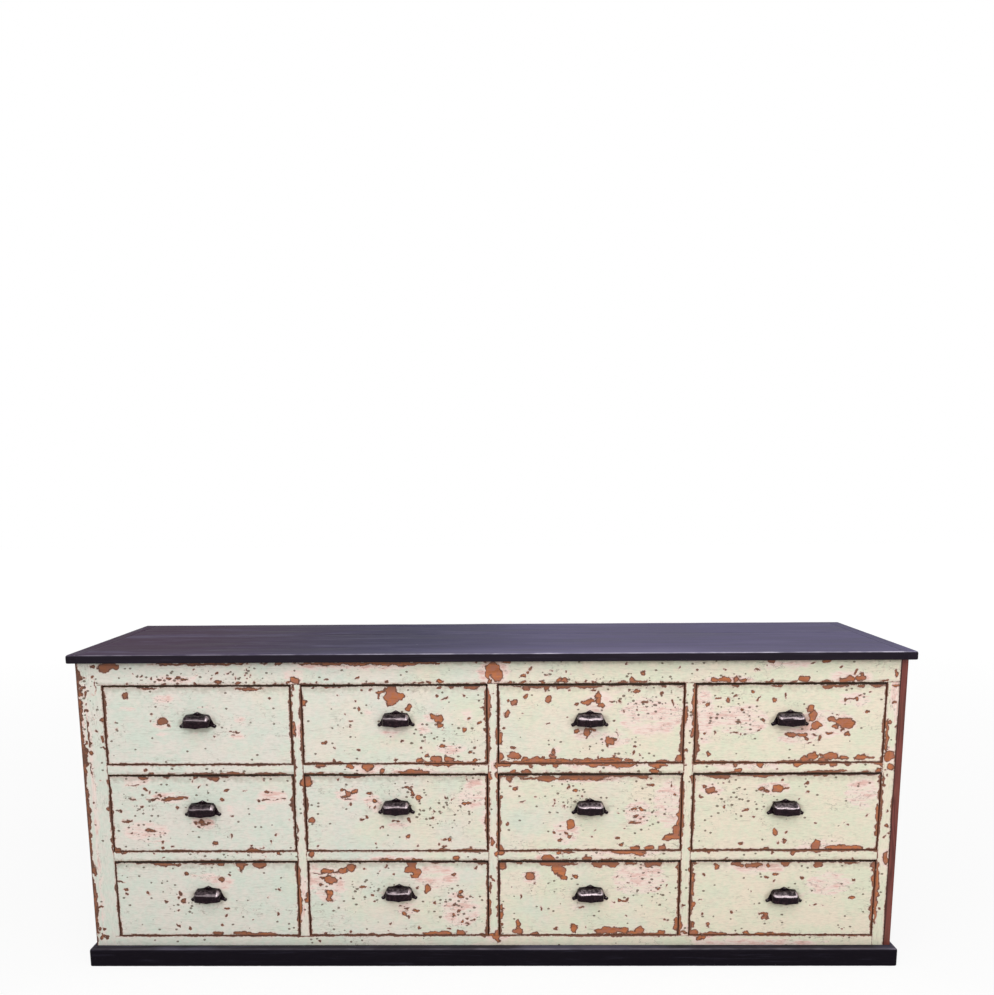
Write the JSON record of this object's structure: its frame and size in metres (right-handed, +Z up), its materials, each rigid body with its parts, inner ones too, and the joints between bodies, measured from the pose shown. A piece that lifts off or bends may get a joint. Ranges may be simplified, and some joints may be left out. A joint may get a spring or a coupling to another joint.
{
  "type": "shop counter",
  "caption": "Long floor-standing shop counter: a bank of inset drawers with cup pulls, in worn pale green paint over wood, between a black plank top and a black plinth.",
  "frame": {"origin": "on the floor, at the centre of the space that the counter takes up, which is the outline of its top and of its plinth", "axes": "+X along the counter to the right as seen from its front, +Y from the front to the back, +Z up"},
  "size_m": [2.11, 0.52, 0.828],
  "materials": {
    "pale_paint": "worn satin paint, pale green over a pink-white undercoat and orange-brown wood",
    "black_paint": "worn satin black paint",
    "stained_side": "dark red-brown stained wood, satin",
    "raw_wood": "old bare pine, matt",
    "dark_casting": "black-brown lacquered casting, rubbed to a shine"
  },
  "bodies": {
    "carcass": {"top_board": "black_paint", "top_end_left": "black_paint", "top_end_right": "black_paint", "plinth_front": "black_paint", "plinth_left": "black_paint", "plinth_right": "black_paint", "side_left": "stained_side", "side_right": "stained_side", "back_boards": "raw_wood", "bottom_board": "raw_wood", "bearers": "raw_wood", "partitions": "raw_wood", "stile_left": "pale_paint", "filler_left": "pale_paint", "stile_right": "pale_paint", "top_rail": "pale_paint", "bottom_rail": "pale_paint", "uprights": "pale_paint", "cross_rails_upper": "pale_paint", "cross_rails_lower": "pale_paint", "runners": "raw_wood", "kickers": "raw_wood", "guides": "raw_wood", "stops": "raw_wood"},
    "drawer_r1c1": {"drawer_r1c1_front": "pale_paint", "drawer_r1c1_box": "raw_wood", "drawer_r1c1_pull": "dark_casting"},
    "drawer_r1c2": {"drawer_r1c2_front": "pale_paint", "drawer_r1c2_box": "raw_wood", "drawer_r1c2_pull": "dark_casting"},
    "drawer_r1c3": {"drawer_r1c3_front": "pale_paint", "drawer_r1c3_box": "raw_wood", "drawer_r1c3_pull": "dark_casting"},
    "drawer_r1c4": {"drawer_r1c4_front": "pale_paint", "drawer_r1c4_box": "raw_wood", "drawer_r1c4_pull": "dark_casting"},
    "drawer_r2c1": {"drawer_r2c1_front": "pale_paint", "drawer_r2c1_box": "raw_wood", "drawer_r2c1_pull": "dark_casting"},
    "drawer_r2c2": {"drawer_r2c2_front": "pale_paint", "drawer_r2c2_box": "raw_wood", "drawer_r2c2_pull": "dark_casting"},
    "drawer_r2c3": {"drawer_r2c3_front": "pale_paint", "drawer_r2c3_box": "raw_wood", "drawer_r2c3_pull": "dark_casting"},
    "drawer_r2c4": {"drawer_r2c4_front": "pale_paint", "drawer_r2c4_box": "raw_wood", "drawer_r2c4_pull": "dark_casting"},
    "drawer_r3c1": {"drawer_r3c1_front": "pale_paint", "drawer_r3c1_box": "raw_wood", "drawer_r3c1_pull": "dark_casting"},
    "drawer_r3c2": {"drawer_r3c2_front": "pale_paint", "drawer_r3c2_box": "raw_wood", "drawer_r3c2_pull": "dark_casting"},
    "drawer_r3c3": {"drawer_r3c3_front": "pale_paint", "drawer_r3c3_box": "raw_wood", "drawer_r3c3_pull": "dark_casting"},
    "drawer_r3c4": {"drawer_r3c4_front": "pale_paint", "drawer_r3c4_box": "raw_wood", "drawer_r3c4_pull": "dark_casting"}
  },
  "joints": [
    {"name": "drawer_r1c1_slide", "type": "slide", "parent": "carcass", "child": "drawer_r1c1", "axis": [0, -1, 0], "range_m": [0, 0.35]},
    {"name": "drawer_r1c2_slide", "type": "slide", "parent": "carcass", "child": "drawer_r1c2", "axis": [0, -1, 0], "range_m": [0, 0.35]},
    {"name": "drawer_r1c3_slide", "type": "slide", "parent": "carcass", "child": "drawer_r1c3", "axis": [0, -1, 0], "range_m": [0, 0.35]},
    {"name": "drawer_r1c4_slide", "type": "slide", "parent": "carcass", "child": "drawer_r1c4", "axis": [0, -1, 0], "range_m": [0, 0.35]},
    {"name": "drawer_r2c1_slide", "type": "slide", "parent": "carcass", "child": "drawer_r2c1", "axis": [0, -1, 0], "range_m": [0, 0.35]},
    {"name": "drawer_r2c2_slide", "type": "slide", "parent": "carcass", "child": "drawer_r2c2", "axis": [0, -1, 0], "range_m": [0, 0.35]},
    {"name": "drawer_r2c3_slide", "type": "slide", "parent": "carcass", "child": "drawer_r2c3", "axis": [0, -1, 0], "range_m": [0, 0.35]},
    {"name": "drawer_r2c4_slide", "type": "slide", "parent": "carcass", "child": "drawer_r2c4", "axis": [0, -1, 0], "range_m": [0, 0.35]},
    {"name": "drawer_r3c1_slide", "type": "slide", "parent": "carcass", "child": "drawer_r3c1", "axis": [0, -1, 0], "range_m": [0, 0.35]},
    {"name": "drawer_r3c2_slide", "type": "slide", "parent": "carcass", "child": "drawer_r3c2", "axis": [0, -1, 0], "range_m": [0, 0.35]},
    {"name": "drawer_r3c3_slide", "type": "slide", "parent": "carcass", "child": "drawer_r3c3", "axis": [0, -1, 0], "range_m": [0, 0.35]},
    {"name": "drawer_r3c4_slide", "type": "slide", "parent": "carcass", "child": "drawer_r3c4", "axis": [0, -1, 0], "range_m": [0, 0.35]}
  ]
}
